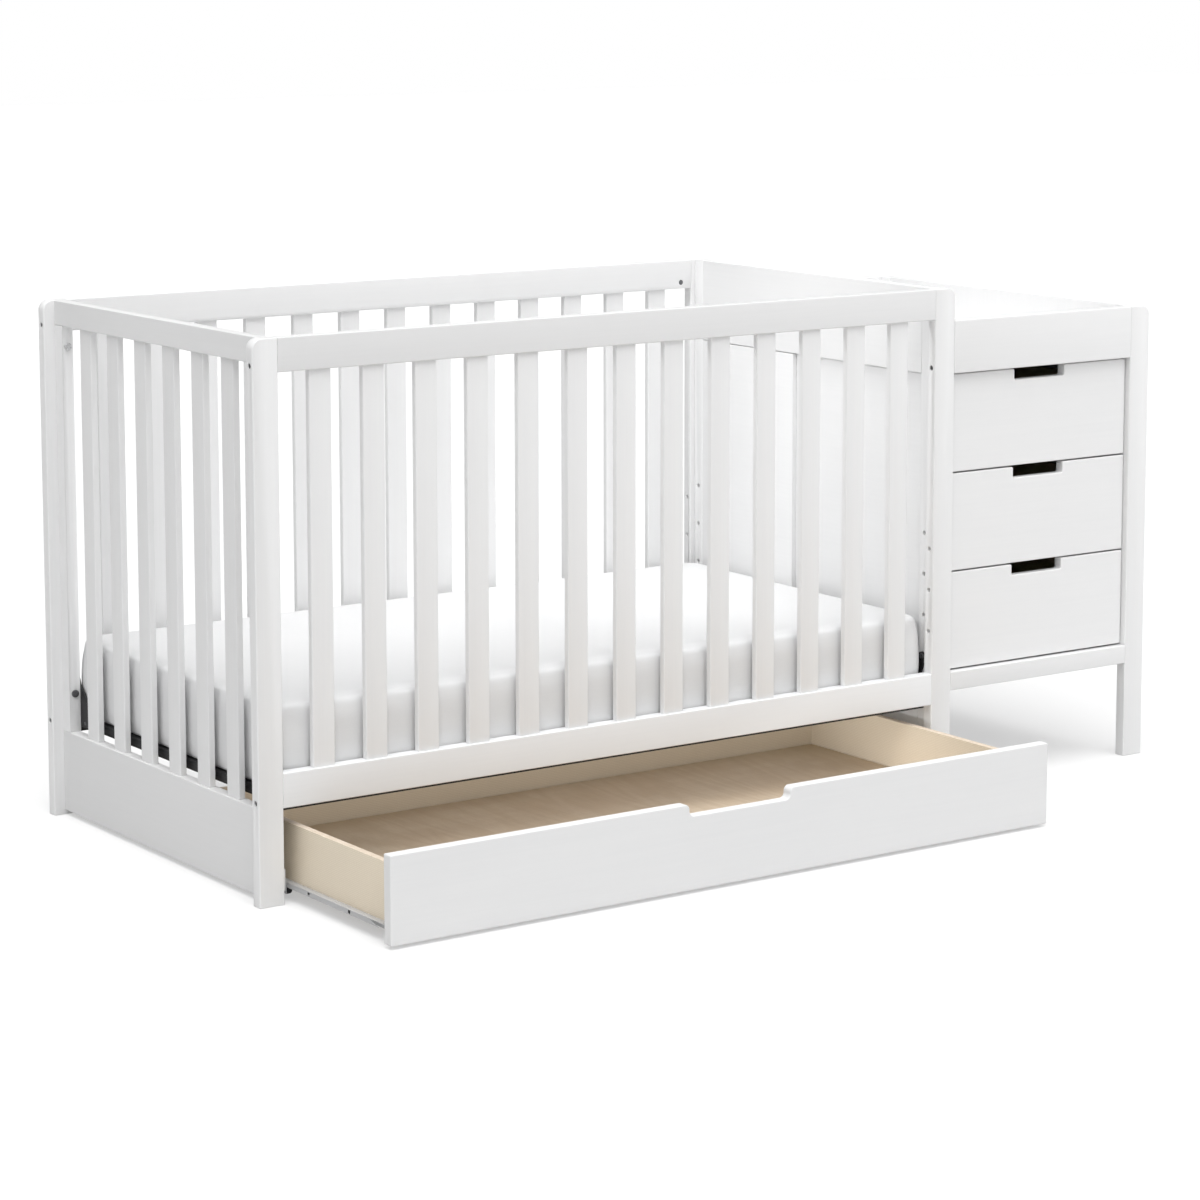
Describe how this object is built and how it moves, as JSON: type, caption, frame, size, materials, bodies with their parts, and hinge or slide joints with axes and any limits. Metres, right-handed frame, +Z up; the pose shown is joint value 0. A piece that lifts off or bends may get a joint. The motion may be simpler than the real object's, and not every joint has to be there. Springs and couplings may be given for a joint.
{
  "type": "crib with attached changer",
  "caption": "White slatted crib with a pull-out under-crib drawer and, at its right end, a fixed changer with a tray top and stacked drawers.",
  "frame": {"origin": "middle of the footprint on the floor, with the under-crib drawer standing open as modelled", "axes": "+X along the front towards the changer, +Y from the front to the back, +Z up"},
  "size_m": [1.89, 1.071, 0.905],
  "materials": {
    "white_paint": "satin white lacquer on solid and engineered wood",
    "birch_plywood": "clear-lacquered plywood with a pale edge",
    "thin_plywood": "clear-lacquered thin plywood",
    "beech_pin": "plain fluted wood pin",
    "black_steel": "black powder coat",
    "dark_zinc": "dark zinc-plated fasteners",
    "runner_steel": "light grey epoxy-coated rolled steel",
    "black_nylon": "moulded nylon roller",
    "white_nylon": "moulded nylon glide",
    "mattress_cover": "smooth white woven cover"
  },
  "bodies": {
    "frame": {"left_front_post": "white_paint", "left_back_post": "white_paint", "right_front_post": "white_paint", "right_back_post": "white_paint", "front_top_rail": "white_paint", "front_bottom_rail": "white_paint", "front_slats": "white_paint", "back_top_rail": "white_paint", "back_bottom_rail": "white_paint", "back_slats": "white_paint", "left_end_stiles": "white_paint", "left_end_top_rail": "white_paint", "left_end_slats": "white_paint", "left_end_panel": "white_paint", "right_end_stiles": "white_paint", "right_end_top_board": "white_paint", "right_end_lower_board": "white_paint", "right_end_filler_board": "white_paint", "right_end_bottom_board": "white_paint", "mattress_support_frame": "black_steel", "mattress_support_straps": "black_steel", "hanger_brackets": "black_steel", "hanger_bolts": "dark_zinc", "connector_bolts": "dark_zinc", "barrel_nuts": "dark_zinc", "dowel_pins": "beech_pin", "changer_front_post": "white_paint", "changer_back_post": "white_paint", "changer_fascia": "white_paint", "changer_back_top_rail": "white_paint", "changer_bottom_rails": "white_paint", "changer_side_stiles": "white_paint", "changer_side_panel": "white_paint", "changer_back_panel": "white_paint", "changer_deck": "white_paint", "changer_deck_battens": "white_paint", "changer_bottom_panel": "white_paint", "runner_packers": "white_paint", "fixed_runners": "runner_steel", "runner_glides": "white_nylon"},
    "upper_drawer": {"upper_drawer_front": "white_paint", "upper_drawer_box": "birch_plywood", "upper_drawer_bottom": "thin_plywood", "upper_drawer_runners": "runner_steel"},
    "middle_drawer": {"middle_drawer_front": "white_paint", "middle_drawer_box": "birch_plywood", "middle_drawer_bottom": "thin_plywood", "middle_drawer_runners": "runner_steel"},
    "lower_drawer": {"lower_drawer_front": "white_paint", "lower_drawer_box": "birch_plywood", "lower_drawer_bottom": "thin_plywood", "lower_drawer_runners": "runner_steel"},
    "under_drawer": {"trundle_front": "white_paint", "trundle_box": "birch_plywood", "trundle_bottom": "thin_plywood", "trundle_runners": "runner_steel"},
    "front_rollers": {"trundle_front_rollers": "black_nylon"},
    "rear_rollers": {"trundle_rear_rollers": "black_nylon"},
    "mattress_pad": {"mattress": "mattress_cover"}
  },
  "joints": [
    {"name": "upper_drawer_slide", "type": "slide", "parent": "frame", "child": "upper_drawer", "axis": [0, -1, 0], "range_m": [0, 0.3]},
    {"name": "middle_drawer_slide", "type": "slide", "parent": "frame", "child": "middle_drawer", "axis": [0, -1, 0], "range_m": [0, 0.3]},
    {"name": "lower_drawer_slide", "type": "slide", "parent": "frame", "child": "lower_drawer", "axis": [0, -1, 0], "range_m": [0, 0.3]},
    {"name": "under_drawer_slide", "type": "slide", "parent": "frame", "child": "under_drawer", "axis": [0, -1, 0], "range_m": [-0.316, 0.134]},
    {"name": "front_roller_spin", "type": "hinge", "parent": "frame", "child": "front_rollers", "pos_m": [-0.235, -0.188, 0.0177], "axis": [1, 0, 0], "range_deg": [-1813, 770]},
    {"name": "rear_roller_spin", "type": "hinge", "parent": "under_drawer", "child": "rear_rollers", "pos_m": [-0.235, 0.0715, 0.0226], "axis": [1, 0, 0], "range_deg": [-1679, 713]},
    {"name": "mattress_lift_out", "type": "slide", "parent": "frame", "child": "mattress_pad", "axis": [0, 0, 1], "range_m": [0, 0.75]}
  ],
  "couplings": [
    {"joint": "front_roller_spin", "follows": "under_drawer_slide", "rad_per_m": 100},
    {"joint": "rear_roller_spin", "follows": "under_drawer_slide", "rad_per_m": 92.593}
  ]
}
